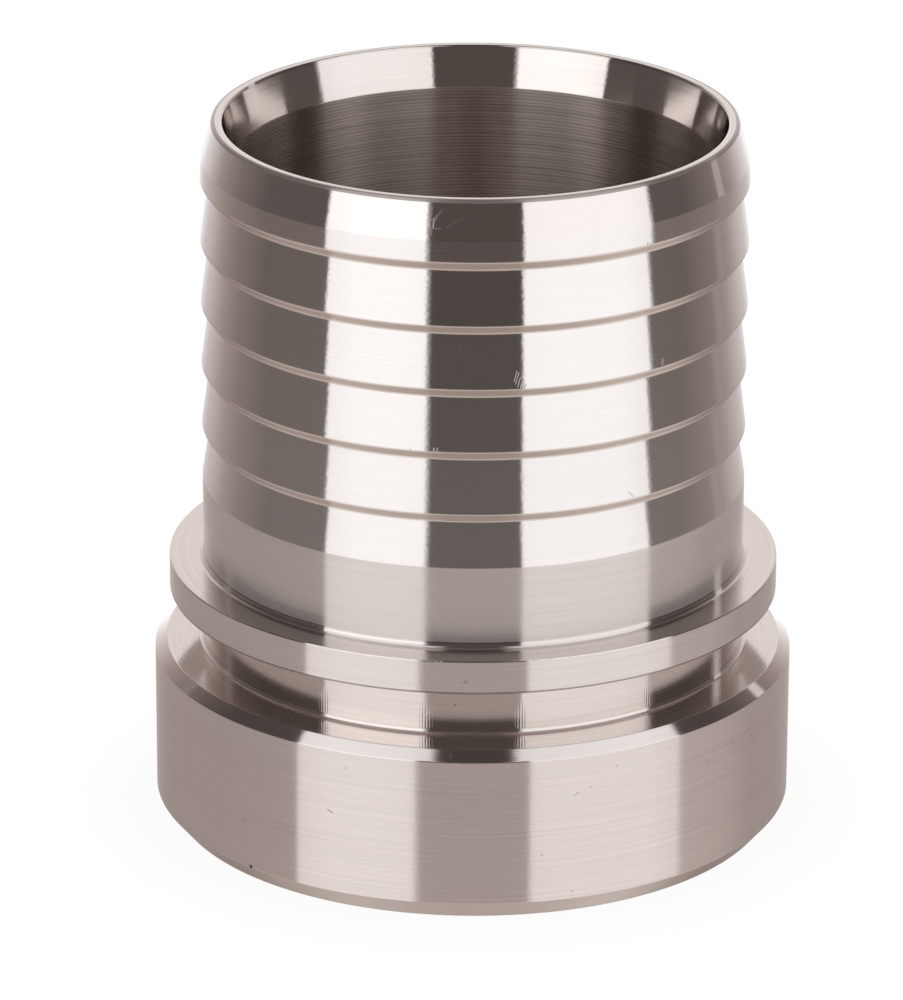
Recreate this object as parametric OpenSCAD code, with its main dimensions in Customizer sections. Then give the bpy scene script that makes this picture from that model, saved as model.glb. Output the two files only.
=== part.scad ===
// Weld-on hose tail, turned from one piece of stainless bar.
// The ring at the foot is butt-welded to a two inch pipe or flange. The hose slides over the
// barbed tail as far as the collar, and the lip of a crimped sleeve closes into the groove
// between the collar and the ring.
// Everything is one half section turned about Z. Z = 0 is the weld face, and the hose end is up.

/* [Weld ring] */
// Outside diameter of the ring, the same as the pipe that it is welded to
ring_od = 60.3; // [58:0.1:66]
// Height of the ring, from the weld face to its top face
ring_h = 16.8; // [8:0.1:30]
// Height of the weld bevel at the foot
bevel_h = 1.9; // [0.5:0.1:4]
// Depth of the weld bevel into the foot
bevel_depth = 1.6; // [0.5:0.1:3.5]
// Height of the chamfer at the ring's top edge
ring_chamfer_h = 0.85; // [0.2:0.05:2]
// Depth of the chamfer into the ring's top face
ring_chamfer_depth = 1.1; // [0.2:0.05:1.8]

/* [Sleeve groove] */
// Width of the groove between the ring and the collar
groove_w = 5.25; // [3:0.05:10]
// Radius in the two corners of the groove
groove_fillet_r = 0.4; // [0.1:0.05:0.8]

/* [Collar] */
// How far the collar stands out from the tail
collar_step = 3.2; // [2:0.05:5]
// Thickness of the collar
collar_t = 3.25; // [1.5:0.05:8]
// Radius on the two outer edges of the collar
collar_edge_r = 0.25; // [0.05:0.05:0.6]
// Radius where the tail meets the collar
collar_fillet_r = 0.5; // [0.2:0.1:1.4]

/* [Barbed tail] */
// Diameter over the barbs, over the plain land below them and at the floor of the groove
tail_od = 51; // [46:0.1:56]
// Height of the plain land above the collar
land_h = 7.8; // [3:0.1:20]
// Height of the lowest cone, which runs out on the land
lowest_cone_h = 4.3; // [2:0.1:8]
// Number of sharp barbs
barb_count = 5; // [2:1:9]
// Distance from one barb to the next
barb_pitch = 6; // [4:0.1:9]
// Depth of the root behind each barb
barb_depth = 0.7; // [0.4:0.05:1.1]
// Height of the undercut below each barb's edge
undercut_h = 0.8; // [0.5:0.05:1.6]
// Radius in the root of each barb
root_fillet_r = 0.3; // [0.1:0.05:0.6]
// Radius on the edge of each barb
barb_edge_r = 0.25; // [0.05:0.05:0.6]

/* [Nose] */
// Height of the easy taper on the top barb, above its edge
shoulder_h = 2; // [0.5:0.1:4]
// Depth of the easy taper
shoulder_depth = 0.15; // [0.05:0.05:0.4]
// Height of the lead-in cone, from the easy taper to the rim
nose_h = 3.6; // [1.5:0.1:8]
// Depth of the lead-in cone
nose_depth = 0.95; // [0.3:0.05:1.2]
// Width of the flat rim at the mouth
rim_w = 0.95; // [0.7:0.05:1.2]
// Radius on the two edges of the rim
rim_edge_r = 0.3; // [0.05:0.05:0.3]

/* [Bore] */
// Thickness of the wall behind the barbs, which leaves a bore of 44.6 mm
tail_wall = 2.5; // [1.6:0.05:4]
// Height of the cone that opens the bore towards the mouth
mouth_h = 3.9; // [1:0.1:12]

/* [Hidden] */
$fn = 180;
ring_r = ring_od / 2;
tail_r = tail_od / 2;
collar_r = tail_r + collar_step;
root_r = tail_r - barb_depth;
shoulder_r = tail_r - shoulder_depth;
rim_r = shoulder_r - nose_depth;
mouth_r = rim_r - rim_w;
bore_r = root_r - tail_wall;

collar_z = ring_h + groove_w;
land_z = collar_z + collar_t;
cone_z = land_z + land_h;
first_root_z = cone_z + lowest_cone_h;
top_barb_z = first_root_z + (barb_count - 1) * barb_pitch + undercut_h;
shoulder_z = top_barb_z + shoulder_h;
rim_z = shoulder_z + nose_h;

// A corner of the half section is [radius from the axis, height, radius of its round].
// The corners run up the outside of the part and back down its bore.
ring_corners = [
    [ring_r - bevel_depth, 0, 0],
    [ring_r, bevel_h, 0],
    [ring_r, ring_h - ring_chamfer_h, 0],
    [ring_r - ring_chamfer_depth, ring_h, 0],
];
groove_corners = [
    [tail_r, ring_h, groove_fillet_r],
    [tail_r, collar_z, groove_fillet_r],
];
collar_corners = [
    [collar_r, collar_z, collar_edge_r],
    [collar_r, land_z, collar_edge_r],
    [tail_r, land_z, collar_fillet_r],
];
barb_corners = [
    for (i = [0 : barb_count - 1])
        let (root_z = first_root_z + i * barb_pitch)
            each [[root_r, root_z, root_fillet_r], [tail_r, root_z + undercut_h, barb_edge_r]]
];
nose_corners = [
    [shoulder_r, shoulder_z, 0],
    [rim_r, rim_z, rim_edge_r],
    [mouth_r, rim_z, rim_edge_r],
];
bore_corners = [
    [bore_r, rim_z - mouth_h, 0],
    [bore_r, 0, 0],
];
corners = concat(
    ring_corners, groove_corners, collar_corners,
    [[tail_r, cone_z, 0]], barb_corners, nose_corners, bore_corners
);

function spot(i) =
    let (corner = corners[(i + len(corners)) % len(corners)])
        [corner[0], corner[1]];

function unit(v) = v / norm(v);

// The outline runs anticlockwise, so it turns left at an outside corner.
function is_outside(i) = cross(spot(i) - spot(i - 1), spot(i + 1) - spot(i)) > 0;

rounded = [for (i = [0 : len(corners) - 1]) if (corners[i][2] > 0) i];
outside_rounds = [for (i = rounded) if (is_outside(i)) i];
inside_rounds = [for (i = rounded) if (!is_outside(i)) i];

// The circle that rounds a corner touches the two straight edges that leave it.
function back(i) = unit(spot(i - 1) - spot(i));
function ahead(i) = unit(spot(i + 1) - spot(i));
function half_angle(i) = acos(back(i) * ahead(i)) / 2;
function reach(i) = corners[i][2] / tan(half_angle(i));
function touch_back(i) = spot(i) + back(i) * reach(i);
function touch_ahead(i) = spot(i) + ahead(i) * reach(i);
function centre(i) = spot(i) + unit(back(i) + ahead(i)) * corners[i][2] / sin(half_angle(i));

// An inside corner is filled as far as the centre of its round, so that a disc can be cut from it.
function outline_at(i) = is_outside(i) || corners[i][2] == 0
    ? [spot(i)]
    : [touch_back(i), centre(i), touch_ahead(i)];

module round_disc(i) {
    translate(centre(i)) circle(r = corners[i][2]);
}

// What an outside corner loses: the kite between the corner and its round, drawn larger than
// the corner so that it cuts clear through it.
module corner_waste(i) {
    oversize = 1.5;
    difference() {
        translate(centre(i)) scale(oversize) translate(-centre(i))
            polygon([centre(i), touch_back(i), spot(i), touch_ahead(i)]);
        round_disc(i);
    }
}

module half_section() {
    difference() {
        polygon([for (i = [0 : len(corners) - 1]) each outline_at(i)]);
        for (i = inside_rounds) round_disc(i);
        for (i = outside_rounds) corner_waste(i);
    }
}

module hose_tail() {
    color([0.74, 0.72, 0.7]) rotate_extrude() half_section();
}

hose_tail();
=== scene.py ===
# %% [markdown]
# # A turned hose tail
#
# The object is a weld-on hose tail: one piece of stainless bar, turned on a lathe. A bevelled
# ring at its foot is welded to a pipe. Above it come a groove, a collar and a tail with barbs,
# over which a hose is pushed.
#
# The imported part is loaded first. It fixes the place and the size of everything: its box gives
# the ring's radius and the rim's height.

# %% Load the imported part
import math

import bpy
from mathutils import Matrix, Vector


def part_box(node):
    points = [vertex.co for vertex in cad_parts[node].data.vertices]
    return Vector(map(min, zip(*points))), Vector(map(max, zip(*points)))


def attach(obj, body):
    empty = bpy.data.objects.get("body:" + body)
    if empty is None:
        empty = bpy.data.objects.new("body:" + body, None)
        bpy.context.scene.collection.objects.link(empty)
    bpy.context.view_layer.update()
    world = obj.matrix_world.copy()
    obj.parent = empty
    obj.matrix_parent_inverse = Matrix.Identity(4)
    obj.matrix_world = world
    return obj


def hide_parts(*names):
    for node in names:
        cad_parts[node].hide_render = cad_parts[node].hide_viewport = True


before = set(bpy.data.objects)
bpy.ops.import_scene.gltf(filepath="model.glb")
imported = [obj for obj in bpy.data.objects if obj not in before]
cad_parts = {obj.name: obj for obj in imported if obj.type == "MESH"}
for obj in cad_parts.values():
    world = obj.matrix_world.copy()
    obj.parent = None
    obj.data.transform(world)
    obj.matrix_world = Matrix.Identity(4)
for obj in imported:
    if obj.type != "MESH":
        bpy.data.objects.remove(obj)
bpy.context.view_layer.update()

MM = 0.001
lowest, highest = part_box("hose_tail")
print("the solid runs from", tuple(lowest), "to", tuple(highest))

# %% [markdown]
# ## The camera
#
# The photograph was taken with a long lens from a little above the rim, so the part's circles
# show as flat ovals. The camera stands on the -Y side and looks at a point near the middle of
# the part. The long lens and the distance belong together: a shorter lens from closer by would
# open the upper ovals more than the lower ones.

# %% Place the camera
CAMERA_AIM = Vector((-2.06, 0, 30.08)) * MM
CAMERA_DISTANCE = 611.05 * MM
CAMERA_RISE = math.radians(20.738)
CAMERA_ROLL = math.radians(0.242)
LENS_MM = 232.95
SENSOR_WIDTH_MM = 36
NEAREST_SEEN = 50 * MM

camera_data = bpy.data.cameras.new("camera")
camera_data.lens = LENS_MM
camera_data.sensor_width = SENSOR_WIDTH_MM
camera_data.clip_start = NEAREST_SEEN
camera = bpy.data.objects.new("camera", camera_data)
bpy.context.scene.collection.objects.link(camera)
towards_camera = Vector((0, -math.cos(CAMERA_RISE), math.sin(CAMERA_RISE)))
tilt = Matrix.Rotation(math.radians(90) - CAMERA_RISE, 4, "X")
roll = Matrix.Rotation(CAMERA_ROLL, 4, "Z")
camera.matrix_world = (
    Matrix.Translation(CAMERA_AIM + towards_camera * CAMERA_DISTANCE) @ tilt @ roll
)
bpy.context.scene.camera = camera
print("the camera stands at", tuple(camera.location))

# %% [markdown]
# ## The outline
#
# Every surface of the part is turned about one axis, so one outline holds the whole shape. It
# can be drawn as a list of corners with a radius for each, the way a turner reads a drawing.
# The rings' radii are measured from the axis, and heights from the weld face.
#
# The sizes are the solid's own. The ring's radius and the height come from the loaded part, and
# the rest are the real sizes in millimetres.

# %% Name the sizes
ring_r = highest.x / MM
rim_z = highest.z / MM

# The ring, the groove and the collar
ring_h = 16.8
bevel_h = 1.9
bevel_depth = 1.6
ring_chamfer_h = 0.85
ring_chamfer_depth = 1.1
groove_w = 5.25
collar_t = 3.25
collar_step = 3.2

# The tail and its barbs
tail_r = 25.5
land_h = 7.8
lowest_cone_h = 4.3
barb_count = 5
barb_pitch = 6
barb_depth = 0.7
undercut_h = 0.8

# The nose, the rim and the bore
shoulder_h = 2
shoulder_depth = 0.15
nose_depth = 0.95
rim_w = 0.95
tail_wall = 2.5
mouth_h = 3.9

collar_z = ring_h + groove_w
land_z = collar_z + collar_t
cone_z = land_z + land_h
first_root_z = cone_z + lowest_cone_h
top_barb_z = first_root_z + (barb_count - 1) * barb_pitch + undercut_h
shoulder_z = top_barb_z + shoulder_h
bore_top_z = rim_z - mouth_h

collar_r = tail_r + collar_step
root_r = tail_r - barb_depth
shoulder_r = tail_r - shoulder_depth
rim_r = shoulder_r - nose_depth
mouth_r = rim_r - rim_w
bore_r = root_r - tail_wall
print("ring radius", round(ring_r, 3), "rim height", round(rim_z, 3))

# %% [markdown]
# A turned corner is never quite sharp. The rounds in the groove, at the top of the collar, on the
# barbs and on the rim are the solid's own. The collar's two outer edges are a little sharper than
# the solid's, and every other corner gets the small break that a file or a deburring pass leaves.
# It catches a thin line of light, which is what makes an edge look real.
#
# Each corner also names the finish of the stretch that follows it, because a turner gives each
# surface its own pass, and each pass leaves its own marks. A corner with no round, part of the way
# up a straight stretch, only starts a new finish.

# %% List the corners
EDGE_BREAK = 0.1
CHAMFER_BREAK = 0.08
GROOVE_FILLET = 0.4
COLLAR_EDGE = 0.15
COLLAR_FILLET = 0.5
ROOT_FILLET = 0.3
BARB_EDGE = 0.25
RIM_EDGE = 0.3
# From this height up the ring's lines are finer
finer_ring_z = 14

corners = [
    (ring_r - bevel_depth, 0, EDGE_BREAK, "bevel"),
    (ring_r, bevel_h, EDGE_BREAK, "ring"),
    (ring_r, finer_ring_z, 0, "ring_upper"),
    (ring_r, ring_h - ring_chamfer_h, CHAMFER_BREAK, "chamfer"),
    (ring_r - ring_chamfer_depth, ring_h, EDGE_BREAK, "ring_top"),
    (tail_r, ring_h, GROOVE_FILLET, "groove"),
    (tail_r, collar_z, GROOVE_FILLET, "collar_underside"),
    (collar_r, collar_z, COLLAR_EDGE, "collar"),
    (collar_r, land_z, EDGE_BREAK, "collar_top"),
    (tail_r, land_z, COLLAR_FILLET, "land"),
    (tail_r, cone_z, EDGE_BREAK, "barb_0"),
]
for barb in range(barb_count):
    root_z = first_root_z + barb * barb_pitch
    corners.append((root_r, root_z, ROOT_FILLET, "undercut"))
    corners.append((tail_r, root_z + undercut_h, BARB_EDGE, f"barb_{barb + 1}"))
corners += [
    (shoulder_r, shoulder_z, EDGE_BREAK, "nose"),
    (rim_r, rim_z, RIM_EDGE, "rim"),
    (mouth_r, rim_z, RIM_EDGE, "mouth"),
    (bore_r, bore_top_z, EDGE_BREAK, "bore"),
    (bore_r, 0, EDGE_BREAK, "foot"),
]
print(len(corners), "corners")

# %% [markdown]
# A round touches the two straight stretches that meet at its corner. Its arc is drawn in steps
# of at most sixteen degrees. One more point lies just outside each end of the arc: it keeps the
# smooth shading of the round from creeping over the flat beside it.

# %% Round the corners
ARC_STEP = math.radians(16)
SUPPORT = 0.07


def rounded(index):
    """The points of one corner's arc with a support point on each side, and if it is inside."""
    here = Vector(corners[index][:2])
    before = Vector(corners[index - 1][:2]) - here
    after = Vector(corners[(index + 1) % len(corners)][:2]) - here
    radius = corners[index][2]
    if radius == 0:
        return [here], False
    back, ahead = before.normalized(), after.normalized()
    half = back.angle(ahead) / 2
    reach = radius / math.tan(half)
    centre = here + (back + ahead).normalized() * radius / math.sin(half)
    start, end = here + back * reach - centre, here + ahead * reach - centre
    sweep = math.pi - 2 * half
    steps = max(2, math.ceil(sweep / ARC_STEP))
    arc = []
    for step in range(steps + 1):
        share = step / steps
        towards_end = math.sin(share * sweep) / math.sin(sweep)
        towards_start = math.sin((1 - share) * sweep) / math.sin(sweep)
        arc.append(centre + start * towards_start + end * towards_end)
    arc = [here + back * (reach + SUPPORT)] + arc + [here + ahead * (reach + SUPPORT)]
    return arc, before.cross(after) > 0


# The collar's lower edge was broken by hand and the rim's outer edge was deburred, so both are
# rougher than the faces beside them. Their colour is painted shade: much darker than clean steel,
# for the dark that the two strips reflect.
ROUND_FINISHES = {"collar": "collar_edge", "rim": "rim_edge"}

outline = []
finishes = []
for index, corner in enumerate(corners):
    arc, inside = rounded(index)
    outline += arc
    # The round in an inside corner is cut in one pass with the face before it
    round_finish = corners[index - 1][3] if inside else corner[3]
    finishes += [ROUND_FINISHES.get(corner[3], round_finish)] * (len(arc) - 1) + [corner[3]]
print(len(outline), "points in the outline")

# %% [markdown]
# ## Turning the outline
#
# On a lathe the bar turns against the tool. In Blender the outline is carried round the axis in
# the same way: each of its points becomes a ring, and neighbouring rings are joined by faces.
#
# The finish lines left by the tool run round the part, side by side along the outline. So each
# point also keeps its distance along the outline, in an attribute that the materials can read.

# %% Turn the outline into a mesh
SEGMENTS = 384

along = [0.0]
for here, there in zip(outline, outline[1:]):
    along.append(along[-1] + (there - here).length)

turns = [2 * math.pi * step / SEGMENTS for step in range(SEGMENTS)]
points = []
for spot in outline:
    for turn in turns:
        points.append((spot.x * MM * math.sin(turn), -spot.x * MM * math.cos(turn), spot.y * MM))

faces = []
face_finish = []
for ring in range(len(outline)):
    above = (ring + 1) % len(outline)
    for step in range(SEGMENTS):
        beside = (step + 1) % SEGMENTS
        faces.append((
            ring * SEGMENTS + step,
            ring * SEGMENTS + beside,
            above * SEGMENTS + beside,
            above * SEGMENTS + step,
        ))
        face_finish.append(finishes[ring])

mesh = bpy.data.meshes.new("turned_hose_tail")
mesh.from_pydata(points, [], faces)
mesh.update()
mesh.shade_smooth()
hose_tail = bpy.data.objects.new("turned_hose_tail", mesh)
bpy.context.scene.collection.objects.link(hose_tail)
ring_along = mesh.attributes.new("along", "FLOAT", "POINT")
ring_along.data.foreach_set("value", [length * MM for length in along for turn in turns])
print(len(points), "points,", 2 * len(faces), "triangles")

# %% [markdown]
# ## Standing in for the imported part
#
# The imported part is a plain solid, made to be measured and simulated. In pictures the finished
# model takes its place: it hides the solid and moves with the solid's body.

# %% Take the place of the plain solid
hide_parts("hose_tail")
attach(hose_tail, "root")
print(hose_tail.name, "takes the place of the plain solid")

# %% [markdown]
# ## The metal
#
# Turned steel is not a grey paint: nearly all that one sees of it is its surroundings. Two things
# make it look turned. The tool leaves fine lines that run round the part, so a reflection is
# smeared up and down the part but stays sharp sideways. And each surface was cut in a pass of its
# own, so its lines are finer or coarser than its neighbour's, and it is more or less satin. Some
# surfaces also keep less of the steel's brightness: that is painted shade, for the dark that they
# reflect.
#
# The smear comes from the shader's anisotropy, with a tangent that runs round the axis. The lines
# themselves are a bump made from noise that is stretched round the part: it changes quickly
# along the outline and hardly at all round the part. The same noise also takes the steel's colour
# a little up and down from line to line.
#
# A satin surface scatters part of its light. The shader's metallic value does this: what isn't
# clean metal is matt, in the same colour.

# %% Name the finishes
STEEL = (0.75, 0.70, 0.67)

# Share of clean metal, roughness, relief of the tool's lines in micrometres, lines per
# millimetre, and how much the lines differ in tone. The land, the collar, the ring and the rim's
# edge are the most satin.
FINISHES = {
    "bevel": (0.9, 0.15, 6, 4, 0.2),
    "ring": (0.86, 0.16, 8, 4, 0.2),
    "ring_upper": (0.84, 0.16, 5, 4, 0.12),
    "chamfer": (1, 0.11, 2, 5, 0.1),
    "ring_top": (1, 0.12, 5, 3, 0.3),
    "groove": (1, 0.12, 4, 4, 0.25),
    "collar_underside": (1, 0.11, 3, 5, 0.2),
    "collar_edge": (1, 0.2, 2, 5, 0.1),
    "collar": (0.8, 0.16, 6, 4, 0.15),
    "collar_top": (1, 0.12, 5, 3, 0.3),
    "land": (0.68, 0.17, 8, 4, 0.25),
    "undercut": (0.95, 0.12, 3, 5, 0.1),
    "nose": (1, 0.09, 2, 5, 0.06),
    "rim_edge": (0.6, 0.28, 2, 5, 0.1),
    "rim": (0.95, 0.14, 3, 5, 0.1),
    "mouth": (1, 0.1, 3, 5, 0.15),
    "bore": (1, 0.24, 5, 3.1, 0.6),
    "foot": (0.9, 0.15, 6, 4, 0.2),
    "barb_0": (0.9, 0.11, 4, 5, 0.1),
    "barb_1": (0.92, 0.11, 4, 5, 0.1),
    "barb_2": (0.96, 0.105, 3, 5, 0.08),
    "barb_3": (0.98, 0.1, 3, 5, 0.08),
    "barb_4": (1, 0.1, 3, 5, 0.08),
    "barb_5": (1, 0.09, 2, 5, 0.06),
}
# Painted shade: how much of the steel's brightness each of these surfaces keeps, darker for the
# dark that it reflects, most on the collar's lower edge and the rim's outer edge
PAINTED_SHADE = {
    "collar_edge": 0.5,
    "undercut": 0.86,
    "ring_top": 0.95,
    "collar_top": 0.93,
    "mouth": 0.94,
    "rim": 0.96,
    "rim_edge": 0.5,
    "land": 0.95,
}
# These two are a little warmer than the rest
TINTS = {"bore": (1.03, 1, 0.97), "rim_edge": (1.07, 1, 0.98)}
# The surfaces darker than clean steel carry painted shade
print(len(FINISHES), "finishes,", len(PAINTED_SHADE), "of them duller than clean steel")

# %% [markdown]
# Handling leaves marks. A scratch or a nick throws light about, so it shows bright against a dark
# reflection. A dark mark is painted near black: painted shade in a pit, and the colour of dirt in
# a speck. Each mark is a short line on the outside, given by the azimuth and height of its two
# ends, its width, and how strong it is: below zero is dark.
# They could be cut into the mesh, but they are finer than its faces. So the material measures how
# far a point is from each line.

# %% List the marks
MARKS = (
    # The scuff on the nose, a bent stroke and a straight one
    (-5.0, 66.95, -7.4, 66.85, 0.09, 0.35),
    (-7.2, 66.7, -8.7, 66.1, 0.2, 0.35),
    (-8.0, 66.5, -8.3, 65.9, 0.12, 0.3),
    (-8.7, 66.1, -8.8, 65.3, 0.16, 0.4),
    (-8.3, 65.25, -7.2, 65.3, 0.1, 0.5),
    (-6.0, 65.4, -2.3, 66.4, 0.09, 0.45),
    # Short strokes side by side above the third barb's edge
    (8.0, 51.0, 8.6, 51.9, 0.07, 0.6),
    (8.3, 50.75, 9.0, 51.75, 0.07, 0.6),
    (8.7, 50.45, 9.3, 51.3, 0.07, 0.7),
    (9.3, 50.4, 9.65, 50.8, 0.09, 0.9),
    (9.9, 50.38, 10.3, 50.7, 0.09, 0.9),
    # Dings and nicks on the barbs
    (41.8, 50.55, 42.0, 50.9, 0.3, 1),
    (33.5, 39.0, 34.7, 38.4, 0.1, 0.8),
    (37.3, 62.35, 37.5, 62.5, 0.14, 1),
    (38.2, 62.3, 38.4, 62.35, 0.12, 0.8),
    (-13.2, 44.3, -13.1, 44.4, 0.1, -0.4),
    (-8.4, 44.3, -8.3, 44.6, 0.1, 0.9),
    (-7.7, 44.3, -7.6, 44.6, 0.1, 0.9),
    (-3.2, 54.1, -3.1, 54.15, 0.14, 0.4),
    # The land, the collar's top edge and the ring's chamfer
    (-4.1, 29.2, -4.0, 29.25, 0.13, 0.9),
    (-6.2, 25.2, -6.0, 25.22, 0.16, 1),
    (-6.9, 25.2, -6.8, 25.2, 0.1, 0.7),
    (-5.8, 15.85, -5.6, 15.88, 0.13, 1),
    (-4.6, 15.88, -4.5, 15.9, 0.12, 0.8),
    (-1.8, 15.86, -1.7, 15.9, 0.14, 1),
    (-4.0, 16.2, -4.0, 16.5, 0.1, 0.4),
    (1.0, 16.95, 1.0, 17.3, 0.1, 0.6),
    (10.5, 25.2, 11.6, 25.22, 0.1, 0.6),
    (13.2, 25.2, 14.1, 25.22, 0.1, 0.7),
    (17.5, 25.2, 18.2, 25.22, 0.1, 0.6),
    (-62.6, 67.1, -61.8, 67.2, 0.3, 0.5),
    # Pits and specks, painted near black: painted shade in the pits, and dirt in the specks
    (66.2, 59.5, 66.3, 59.5, 0.16, -0.5),
    (-78.3, 57.5, -78.2, 57.5, 0.25, -0.6),
    (-1.6, 23.3, -1.4, 23.35, 0.3, -0.25),
    (-3.8, 19.7, -3.6, 19.7, 0.2, -0.35),
    (-42.95, 1.9, -42.85, 2.0, 0.36, -1),
    (-35.4, 8.2, -35.3, 8.2, 0.16, -0.4),
    (-26.2, 9.98, -25.2, 9.72, 0.13, -0.5),
    (-26.2, 9.82, -25.3, 9.56, 0.1, 0.6),
    (-44.8, 6.4, -44.7, 6.4, 0.15, -0.5),
    (-22.7, 14.4, -22.6, 14.45, 0.15, -0.4),
    (12.1, 6.55, 12.2, 6.55, 0.15, -0.4),
    (59.3, 12.6, 59.4, 12.6, 0.2, -0.5),
    (52.85, 12.9, 52.95, 13.45, 0.11, -0.4),
    (46.1, 12.2, 46.2, 12.2, 0.16, -0.3),
    (25.85, 14.4, 25.95, 14.45, 0.16, -0.4),
    (20.9, 12.75, 21.0, 12.8, 0.16, -0.35),
    (17.8, 12.1, 18.8, 12.45, 0.1, -0.4),
    (17.65, 2.6, 17.75, 2.65, 0.15, -0.35),
)


def outside_at(height):
    """Radius of the outside at a height, and the finish of the surface there."""
    for here, there, finish in zip(outline, outline[1:], finishes):
        if here.y != there.y and min(here.y, there.y) <= height <= max(here.y, there.y):
            return here.x + (there.x - here.x) * (height - here.y) / (there.y - here.y), finish


def on_outside(azimuth, height):
    """The point of the outside at an azimuth in degrees and a height in millimetres."""
    turn = math.radians(azimuth)
    radius = outside_at(height)[0]
    return Vector((radius * math.sin(turn), -radius * math.cos(turn), height)) * MM


marks_on = {finish: [] for finish in FINISHES}
for from_azimuth, from_height, to_azimuth, to_height, width, strength in MARKS:
    mark = (on_outside(from_azimuth, from_height), on_outside(to_azimuth, to_height), width, strength)
    heights = (from_height - width / 2, from_height, to_height, to_height + width / 2)
    for finish in {outside_at(height)[1] for height in heights}:
        marks_on[finish].append(mark)
print(len(MARKS), "marks on", sum(bool(marks) for marks in marks_on.values()), "surfaces")

# %% [markdown]
# A material is a graph of nodes, and a few kinds of node are needed again and again. A helper for
# each kind keeps the graphs readable: it makes the node, feeds it with numbers or with the
# outputs of other nodes, and hands back its own output. The studio uses the same helpers later.

# %% Make helpers for the nodes
def math_node(tree, operation, *values):
    """A math node, fed with numbers or with the outputs of other nodes."""
    node = tree.nodes.new("ShaderNodeMath")
    node.operation = operation
    for socket, value in zip(node.inputs, values):
        if isinstance(value, (int, float)):
            socket.default_value = value
        else:
            tree.links.new(value, socket)
    return node.outputs[0]


def step_node(tree, value, low, high, ends=(0, 1)):
    """A node that goes smoothly from one end to the other as the value goes from low to high."""
    node = tree.nodes.new("ShaderNodeMapRange")
    node.interpolation_type = "SMOOTHSTEP"
    for name, number in zip(("From Min", "From Max", "To Min", "To Max"), (low, high, *ends)):
        node.inputs[name].default_value = number
    tree.links.new(value, node.inputs["Value"])
    return node.outputs["Result"]


def vector_node(tree, operation, first, second=None):
    """A vector math node: the first input is a node's output, the second may be numbers."""
    node = tree.nodes.new("ShaderNodeVectorMath")
    node.operation = operation
    tree.links.new(first, node.inputs[0])
    if isinstance(second, bpy.types.NodeSocket):
        tree.links.new(second, node.inputs[1])
    elif second is not None:
        node.inputs[1].default_value = second
    gives_number = operation in ("DOT_PRODUCT", "LENGTH", "DISTANCE")
    return node.outputs["Value" if gives_number else "Vector"]


def scale_node(tree, vector, factor):
    """A node that makes a plain vector longer or shorter by the output of another node."""
    node = tree.nodes.new("ShaderNodeVectorMath")
    node.operation = "SCALE"
    node.inputs[0].default_value = vector
    tree.links.new(factor, node.inputs["Scale"])
    return node.outputs["Vector"]


def split_node(tree, vector):
    """The outputs X, Y and Z of a vector."""
    node = tree.nodes.new("ShaderNodeSeparateXYZ")
    tree.links.new(vector, node.inputs[0])
    return node.outputs


def mix_node(tree, share, first, second):
    """A node that fades from one colour to another, which may be a plain colour."""
    node = tree.nodes.new("ShaderNodeMix")
    node.data_type = "RGBA"
    tree.links.new(share, node.inputs["Factor"])
    tree.links.new(first, node.inputs["A"])
    if isinstance(second, bpy.types.NodeSocket):
        tree.links.new(second, node.inputs["B"])
    else:
        node.inputs["B"].default_value = second
    return node.outputs["Result"]


# %% [markdown]
# A mark shows where a point is close to the mark's line. The nearest place on the line is found
# as on paper: drop a perpendicular on the line, and stay between its two ends.

# %% Measure how close a mark is
# A mark is full up to the first share of its half width, and gone at the second
MARK_FADE = (0.5, 1.3)


def mark_mask(tree, place, start, end, width):
    """How much of a mark there is at each place: 1 on its line, and 0 away from it."""
    line = end - start
    from_start = vector_node(tree, "SUBTRACT", place, start)
    share = vector_node(tree, "DOT_PRODUCT", from_start, line / line.length_squared)
    share = math_node(tree, "MINIMUM", math_node(tree, "MAXIMUM", share, 0), 1)
    distance = vector_node(tree, "DISTANCE", from_start, scale_node(tree, line, share))
    half_width = width * MM / 2
    full, gone = (fade * half_width for fade in MARK_FADE)
    return math_node(tree, "SUBTRACT", 1, step_node(tree, distance, full, gone))


def strongest(tree, place, marks):
    """The strongest of some marks at each place, or None where there are none."""
    found = None
    for start, end, width, strength in marks:
        mask = math_node(tree, "MULTIPLY", mark_mask(tree, place, start, end, width), abs(strength))
        found = mask if found is None else math_node(tree, "MAXIMUM", found, mask)
    return found


# %% [markdown]
# Besides its lines, each pass leaves faults of its own. The tool shakes a little, which is
# chatter: shallow hollows across the lines. The groove was cut with a wide tool, which shook more
# and left fine upright facets low down. The boring bar moved on by the same step in each turn, so
# the bore's lines are evenly spaced, like a very fine thread.
#
# They could each have a bump of their own. Here they are added up first, and one bump node turns
# the sum into a change in the direction of the surface, so that none covers another.

# %% Add up what the tool left
# Depth of the chatter in micrometres, and the surfaces that have less of it
CHATTER_DEPTH = 1.5
LESS_CHATTER = {"chamfer": 0.4, "collar": 0.7, "ring": 1, "ring_upper": 1, "land": 1}
# Its hollows in a radian round the part, and in a millimetre along the outline
CHATTER_ROUND = 60
CHATTER_ALONG = 4
# Number and depth of the groove's facets, and the heights between which they fade out
FACETS_ROUND = 620
FACET_DEPTH = 0.8
FACETS_FADE = (18.8, 20.3)
# Depth of the bore's even lines, as a share of the uneven ones
FEED_SHARE = 0.2
LINE_DETAIL = 2
NOISE_ROUGHNESS = 0.75


def noise_node(tree, unrolled, cycles_round, cycles_along, detail):
    """Noise with its own cycles in a radian round the part and in a millimetre along it."""
    noise = tree.nodes.new("ShaderNodeTexNoise")
    noise.inputs["Scale"].default_value = 1
    noise.inputs["Detail"].default_value = detail
    noise.inputs["Roughness"].default_value = NOISE_ROUGHNESS
    stretch = (cycles_round, cycles_round, cycles_along / MM)
    tree.links.new(vector_node(tree, "MULTIPLY", unrolled, stretch), noise.inputs["Vector"])
    return noise.outputs["Fac"]


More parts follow.
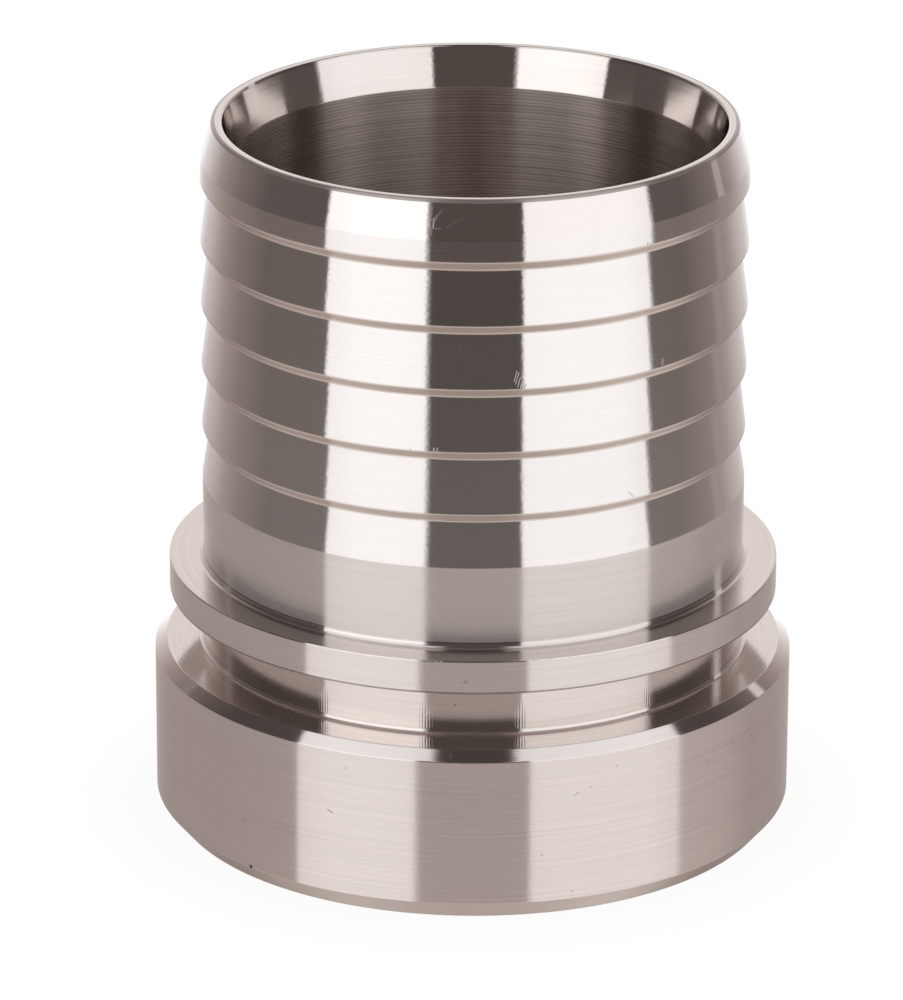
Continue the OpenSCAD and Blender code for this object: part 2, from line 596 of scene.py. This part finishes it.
def tool_relief(tree, place, finish, line_depth, lines_per_mm):
    """The tool's lines, and the whole relief in units of the lines' depth."""
    outward = vector_node(tree, "NORMALIZE", vector_node(tree, "MULTIPLY", place, (1, 1, 0)))
    round_part = split_node(tree, outward)
    length = tree.nodes.new("ShaderNodeAttribute")
    length.attribute_name = "along"
    combined = tree.nodes.new("ShaderNodeCombineXYZ")
    tree.links.new(round_part["X"], combined.inputs["X"])
    tree.links.new(round_part["Y"], combined.inputs["Y"])
    tree.links.new(length.outputs["Fac"], combined.inputs["Z"])
    unrolled = combined.outputs["Vector"]

    chatter = noise_node(tree, unrolled, CHATTER_ROUND, CHATTER_ALONG, 0)
    lines = noise_node(tree, unrolled, 1, lines_per_mm, LINE_DETAIL)
    if finish == "bore":
        radians_along = 2 * math.pi * lines_per_mm / MM
        feed = math_node(tree, "MULTIPLY", length.outputs["Fac"], radians_along)
        lines = math_node(tree, "MULTIPLY_ADD", math_node(tree, "SINE", feed), FEED_SHARE, lines)
    chatter_depth = LESS_CHATTER.get(finish, CHATTER_DEPTH)
    relief = math_node(tree, "MULTIPLY_ADD", chatter, chatter_depth / line_depth, lines)
    if finish == "groove":
        azimuth = math_node(tree, "ARCTAN2", round_part["X"], round_part["Y"])
        wave = math_node(tree, "SINE", math_node(tree, "MULTIPLY", azimuth, FACETS_ROUND))
        low, high = (height_mm * MM for height_mm in FACETS_FADE)
        faded = step_node(tree, split_node(tree, place)["Z"], low, high)
        facets = math_node(tree, "MULTIPLY", wave, math_node(tree, "SUBTRACT", 1, faded))
        relief = math_node(tree, "MULTIPLY_ADD", facets, FACET_DEPTH / line_depth, relief)
    return lines, relief


# %% [markdown]
# Now the steel itself. A scratch is rougher than the metal round it, and lies deeper. A dark mark
# hides the steel's colour under near black, which is painted shade in a pit and dirt in a speck.
# One function makes the material of every surface, from its row in the list of finishes, so a
# change of the steel is made in one place.

# %% Make the metal
SCRATCH_ROUGHNESS = 0.5
# Near black: painted shade in the pits, and the colour of dirt in the specks
PIT_SHADE_AND_DIRT = (0.03, 0.025, 0.022, 1)
# The smear runs across the lines, a quarter turn from the tangent
SMEAR_TURN = 0.25


def turned_steel(finish, clean_share, roughness, line_depth, lines_per_mm, tone):
    """Steel with lines round the axis, what else the tool left, and its marks."""
    material = bpy.data.materials.new("turned_steel_" + finish)
    material.use_nodes = True
    tree = material.node_tree
    nodes, links = tree.nodes, tree.links
    shader = nodes["Principled BSDF"]
    shader.inputs["Metallic"].default_value = clean_share
    shader.inputs["Roughness"].default_value = roughness
    shader.inputs["Anisotropic"].default_value = 1
    shader.inputs["Anisotropic Rotation"].default_value = SMEAR_TURN
    tangent = nodes.new("ShaderNodeTangent")
    tangent.direction_type = "RADIAL"
    tangent.axis = "Z"
    links.new(tangent.outputs["Tangent"], shader.inputs["Tangent"])

    place = nodes.new("ShaderNodeTexCoord").outputs["Object"]
    lines, relief = tool_relief(tree, place, finish, line_depth, lines_per_mm)
    scratched = strongest(tree, place, [mark for mark in marks_on[finish] if mark[3] > 0])
    if scratched is not None:
        added = SCRATCH_ROUGHNESS - roughness
        rougher = math_node(tree, "MULTIPLY_ADD", scratched, added, roughness)
        links.new(rougher, shader.inputs["Roughness"])
        relief = math_node(tree, "SUBTRACT", relief, scratched)

    # The steel's colour goes a little up and down from line to line
    shade = math_node(tree, "MULTIPLY_ADD", lines, tone, 1 - tone / 2)
    tint = TINTS.get(finish, (1, 1, 1))
    # Painted shade: some surfaces keep less of the steel's brightness
    level = PAINTED_SHADE.get(finish, 1)
    steel = [level * part * channel for part, channel in zip(tint, STEEL)]
    colour = scale_node(tree, steel, shade)
    # Dark marks paint the colour near black: painted shade in pits, dirt in specks
    pit_shade_and_dirt_mask = strongest(tree, place, [mark for mark in marks_on[finish] if mark[3] < 0])
    if pit_shade_and_dirt_mask is not None:
        colour = mix_node(tree, pit_shade_and_dirt_mask, colour, PIT_SHADE_AND_DIRT)
    links.new(colour, shader.inputs["Base Color"])

    bump = nodes.new("ShaderNodeBump")
    bump.inputs["Strength"].default_value = 1
    bump.inputs["Distance"].default_value = line_depth * MM * MM
    links.new(relief, bump.inputs["Height"])
    links.new(bump.outputs["Normal"], shader.inputs["Normal"])
    return material


slots = {}
for finish, numbers in FINISHES.items():
    material = turned_steel(finish, *numbers)
    mesh.materials.append(material)
    slots[finish] = len(mesh.materials) - 1
mesh.polygons.foreach_set("material_index", [slots[finish] for finish in face_finish])
print(len(slots), "finishes")

# %% [markdown]
# ## The floor
#
# The part stands on white paper that fills the picture. Paper of the right brightness would also
# light the metal from below, and the photographed metal shows that its surroundings go on below
# the part, as they do round a narrow stand. So this floor is for the camera alone: the part's
# shadow falls on it, and reflections look past it to the studio.
#
# Only the paper near the foot takes a shadow. Further out it shines plain white, the same white
# as the backdrop, so its edge can't be seen.

# %% Lay the floor
FLOOR_RADIUS = 250 * MM
SHADOW_RADIUS = 40 * MM
SHADOW_SHARE = 0.06
# A sheet needs only every fourth of the part's turns for its edge
SHEET_STEP = 4


def round_sheet(name, radius, height):
    """A flat round sheet about the axis."""
    sheet_mesh = bpy.data.meshes.new(name)
    edge = [
        (radius * math.cos(turn), radius * math.sin(turn), height)
        for turn in turns[::SHEET_STEP]
    ]
    sheet_mesh.from_pydata(edge, [], [tuple(range(len(edge)))])
    sheet = bpy.data.objects.new(name, sheet_mesh)
    bpy.context.scene.collection.objects.link(sheet)
    return sheet


floor = round_sheet("floor", FLOOR_RADIUS, 0)
floor.visible_glossy = False
floor.visible_diffuse = False
floor.visible_shadow = False

paper = bpy.data.materials.new("floor")
paper.use_nodes = True
nodes, links = paper.node_tree.nodes, paper.node_tree.links
nodes.remove(nodes["Principled BSDF"])
place = nodes.new("ShaderNodeTexCoord").outputs["Object"]
distance = vector_node(paper.node_tree, "LENGTH", place)
fade = (SHADOW_SHARE, 0)
shadow = step_node(paper.node_tree, distance, ring_r * MM, SHADOW_RADIUS, fade)
matt = nodes.new("ShaderNodeBsdfDiffuse")
matt.inputs["Color"].default_value = (1, 1, 1, 1)
white = nodes.new("ShaderNodeEmission")
white.inputs["Strength"].default_value = 1
shaded = nodes.new("ShaderNodeMixShader")
links.new(shadow, shaded.inputs["Fac"])
links.new(white.outputs[0], shaded.inputs[1])
links.new(matt.outputs[0], shaded.inputs[2])
links.new(shaded.outputs[0], nodes["Material Output"].inputs["Surface"])
floor.data.materials.append(paper)
print("the floor is", round(2 * FLOOR_RADIUS / MM), "mm across")

# %% [markdown]
# The studio goes on below the part, and the floor doesn't stop its light. It would shine up
# through the open bore, which is dark on a real table. So a round of matt paper closes the
# foot of the bore. Its dark grey colour, much darker than the white floor, is painted shade, on
# top of the real shade that the bore casts on it.

# %% Close the foot of the bore
PLUG_HEIGHT = 0.05 * MM
# Dark grey: painted shade at the foot of the bore
PLUG_SHADE_COLOUR = (0.32, 0.28, 0.26, 1)

plug = round_sheet("paper_under_bore", bore_r * MM, PLUG_HEIGHT)
matt_paper = bpy.data.materials.new("paper_under_bore")
matt_paper.use_nodes = True
plug_shader = matt_paper.node_tree.nodes["Principled BSDF"]
plug_shader.inputs["Base Color"].default_value = PLUG_SHADE_COLOUR
plug_shader.inputs["Roughness"].default_value = 1
plug.data.materials.append(matt_paper)
print("the paper in the bore is", round(2 * bore_r, 2), "mm across")

# %% [markdown]
# ## The light
#
# A bright turned part is photographed between two large soft lamps, one on each side, with the
# dark room behind the camera showing as a band down the middle of the metal and a white backdrop
# behind the part. The bands on the part tell where the lamps are: a face that looks 10 degrees
# to the side mirrors what stands 20 degrees to the side.
#
# The studio is painted on the world, as a level of light for each direction. Seven rows are
# written down, from far below the part to high above it, each for the same angles round the part:
# the gap towards the camera, the two lamps, the dark sides and the backdrop. Lamp objects would
# light the part as well, but their edges would have to be moved for each change of a band.

# %% Name the studio's angles and levels
# Where the gap ends and where the lamps end, on the left and on the right
GAP_EDGES = (19.8, 20.2)
LAMP_ENDS = (65.4, 79.7)
EDGE_SOFTNESS = 0.3
# The left lamp ends sharply, and the right one behind a softer edge
END_SOFTNESS = (0.3, 0.9)
# A lamp is a little dimmer at its edges than this far inside them
LAMP_MARGIN = 14
NEAR_GAP = 0.97
NEAR_END = 0.92
# The dark side is a little lighter beside the lamp than at this angle
SIDE_ANGLE = 100
BESIDE_LAMP = 1.1
RAMP_TOP = 2.0

# Elevation, level in the gap, left lamp and right lamp, left side and right side, then the
# levels on the backdrop, at the angles that follow the rows
ROWS = [
    (-80, 0.50, (0.50, 0.50), (0.28, 0.28), (0.28, 0.28, 0.28, 0.28, 0.28, 0.28)),
    (-45, 0.68, (0.95, 0.95), (0.60, 0.74), (0.50, 0.44, 0.37, 0.28, 0.22, 0.20)),
    (-24, 0.47, (0.98, 0.93), (0.41, 0.55), (0.40, 0.38, 0.36, 0.37, 0.44, 0.36)),
    (-9, 0.085, (1.35, 1.32), (0.16, 0.16), (0.26, 0.42, 0.68, 0.92, 1.40, 1.50)),
    (20, 0.10, (1.52, 1.24), (0.08, 0.08), (0.12, 0.20, 0.38, 0.68, 0.92, 0.96)),
    (55, 0.10, (1.12, 1.08), (0.08, 0.08), (0.13, 0.18, 0.22, 0.25, 0.30, 0.30)),
    (78, 1.02, (1.06, 1.03), (0.07, 0.07), (0.13, 0.18, 0.22, 0.25, 0.30, 0.30)),
]
BACKDROP_ANGLES = (120, 132, 144, 156, 168, 180)
DARK_TINT = (1.0, 0.86, 0.83)
LAMP_TINT = (0.97, 1.0, 1.03)
DARK_LEVEL = 0.3
LAMP_LEVEL = 1.25
# Light that comes up from the table, and from the backdrop above it, is warmer again
ROW_TINTS = (
    (1.01, 0.97, 0.91),
    (1.02, 0.96, 0.90),
    (1.01, 0.96, 0.92),
    (1.0, 1.0, 1.0),
    (1.04, 1.0, 0.97),
    (1.0, 1.0, 1.0),
    (1.0, 1.0, 1.0),
)


def tinted(level, row_tint=(1, 1, 1)):
    """The colour of a level of light: the room is warm, and the lamps are white."""
    share = min(1, max(0, (level - DARK_LEVEL) / (LAMP_LEVEL - DARK_LEVEL)))
    return tuple(
        level * (dark + (lamp - dark) * share) * tint / RAMP_TOP
        for dark, lamp, tint in zip(DARK_TINT, LAMP_TINT, row_tint)
    )


print(len(ROWS), "rows of light, from", ROWS[0][0], "to", ROWS[-1][0], "degrees of elevation")

# %% [markdown]
# For each direction in the studio, the paint needs an angle round the part. The plain azimuth
# would do for a cylinder, but on a cone the bands would run askew. The part mirrors a direction
# half as far round, whatever the slope of the face. So the angle is taken half-way between the
# direction and the camera, and doubled, and the lamps' edges run straight down over every face.
#
# A colour ramp holds each row, and each row fades into the next by elevation.

# %% Paint the rows of light
# Behind the part, where half-way angles crowd into one point, the plain azimuth takes over
BEHIND = (0.3, 0.7)

world = bpy.data.worlds.new("studio")
bpy.context.scene.world = world
world.use_nodes = True
sky = world.node_tree

direction = split_node(sky, sky.nodes.new("ShaderNodeTexCoord").outputs["Generated"])
towards_front = math_node(sky, "MULTIPLY", direction["Y"], -1)
azimuth = math_node(sky, "DEGREES", math_node(sky, "ARCTAN2", direction["X"], towards_front))
elevation = math_node(sky, "DEGREES", math_node(sky, "ARCSINE", direction["Z"]))

half_way_front = math_node(sky, "ADD", towards_front, math.cos(CAMERA_RISE))
half_way = math_node(sky, "ARCTAN2", direction["X"], half_way_front)
round_part = math_node(sky, "MULTIPLY", math_node(sky, "DEGREES", half_way), 2)
behind = step_node(sky, direction["Y"], *BEHIND)
bent = math_node(sky, "MULTIPLY", math_node(sky, "SUBTRACT", azimuth, round_part), behind)
full_turns = math_node(sky, "DIVIDE", math_node(sky, "ADD", round_part, bent), 360)
place_on_ramp = math_node(sky, "ADD", full_turns, 0.5)


def stops(row):
    """The angles and levels of one row, from the left of the backdrop round to its right."""
    gap, lamps, sides, backdrop = row[1:]
    found = []
    columns = zip((-1, 1), GAP_EDGES, LAMP_ENDS, END_SOFTNESS, lamps, sides)
    for sign, gap_edge, lamp_end, softness, lamp, side in columns:
        found += [
            (sign * (gap_edge - EDGE_SOFTNESS), gap),
            (sign * (gap_edge + EDGE_SOFTNESS), lamp * NEAR_GAP),
            (sign * (gap_edge + LAMP_MARGIN), lamp),
            (sign * (lamp_end - LAMP_MARGIN), lamp),
            (sign * (lamp_end - softness), lamp * NEAR_END),
            (sign * (lamp_end + softness), side * BESIDE_LAMP),
            (sign * SIDE_ANGLE, side),
        ]
        found += [(sign * angle, level) for angle, level in zip(BACKDROP_ANGLES, backdrop)]
    return sorted(found)


colour = None
for index, row in enumerate(ROWS):
    ramp = sky.nodes.new("ShaderNodeValToRGB")
    sky.links.new(place_on_ramp, ramp.inputs["Fac"])
    row_stops = stops(row)
    while len(ramp.color_ramp.elements) < len(row_stops):
        ramp.color_ramp.elements.new(0.5)
    for element, (angle, level) in zip(ramp.color_ramp.elements, row_stops):
        element.position = angle / 360 + 0.5
        element.color = tinted(level, ROW_TINTS[index]) + (1,)
    if colour is None:
        colour = ramp.outputs["Color"]
    else:
        risen = step_node(sky, elevation, ROWS[index - 1][0], row[0])
        colour = mix_node(sky, risen, colour, ramp.outputs["Color"])
print(len(row_stops), "stops in each row")

# %% [markdown]
# Three small things are laid over the rows. A narrow light stands on each side, a little behind
# the part, and shows as a thin streak near its edge. Overhead the lamps don't quite meet, and the
# dark slit between them runs from front to back and shows on the chamfer of the ring.

# %% Add the narrow lights and the slit
STRIP_ANGLES = (124, 126, 130, 132)
STRIP_ELEVATIONS = (-17, 15, 34, 46)
STRIP_LEVELS = (0.30, 0.78)
SLIT_EDGES = (7.1, 9.1)
SLIT_SHIFT = 0.5
SLIT_LEVEL = 0.07
SLIT_FROM = (45, 70)


def window(value, edges):
    """A node that is 1 between the middle two edges, and fades to 0 at the outer two."""
    opened = step_node(sky, value, *edges[:2])
    closed = step_node(sky, value, *edges[2:])
    return math_node(sky, "MULTIPLY", opened, math_node(sky, "SUBTRACT", 1, closed))


for side, level in zip((-1, 1), STRIP_LEVELS):
    strip = window(math_node(sky, "MULTIPLY", round_part, side), STRIP_ANGLES)
    strip = math_node(sky, "MULTIPLY", strip, window(elevation, STRIP_ELEVATIONS))
    colour = mix_node(sky, strip, colour, tinted(level) + (1,))

beside_slit = math_node(sky, "DEGREES", math_node(sky, "ARCTAN2", direction["X"], direction["Z"]))
beside_slit = math_node(sky, "ABSOLUTE", math_node(sky, "SUBTRACT", beside_slit, SLIT_SHIFT))
within_slit = math_node(sky, "SUBTRACT", 1, step_node(sky, beside_slit, *SLIT_EDGES))
slit = math_node(sky, "MULTIPLY", within_slit, step_node(sky, elevation, *SLIT_FROM))
colour = mix_node(sky, slit, colour, tinted(SLIT_LEVEL) + (1,))
print(len(STRIP_LEVELS), "narrow lights, and a slit of", 2 * SLIT_EDGES[0], "degrees")

# %% [markdown]
# The camera itself doesn't look at the studio but at a plain white backdrop, like the paper that
# the part stands on. The world can tell the two apart by the kind of ray that asks for its colour.
# The plain view transform shows each colour as it was painted, white as white.

# %% Show a white backdrop
nodes, links = sky.nodes, sky.links
studio = nodes["Background"]
studio.inputs["Strength"].default_value = RAMP_TOP
links.new(colour, studio.inputs["Color"])
white = nodes.new("ShaderNodeBackground")
white.inputs["Color"].default_value = (1, 1, 1, 1)
ray = nodes.new("ShaderNodeLightPath")
seen = nodes.new("ShaderNodeMixShader")
links.new(ray.outputs["Is Camera Ray"], seen.inputs["Fac"])
links.new(studio.outputs[0], seen.inputs[1])
links.new(white.outputs[0], seen.inputs[2])
links.new(seen.outputs[0], nodes["World Output"].inputs["Surface"])

bpy.context.scene.view_settings.view_transform = "Standard"
print("the world has", len(nodes), "nodes")
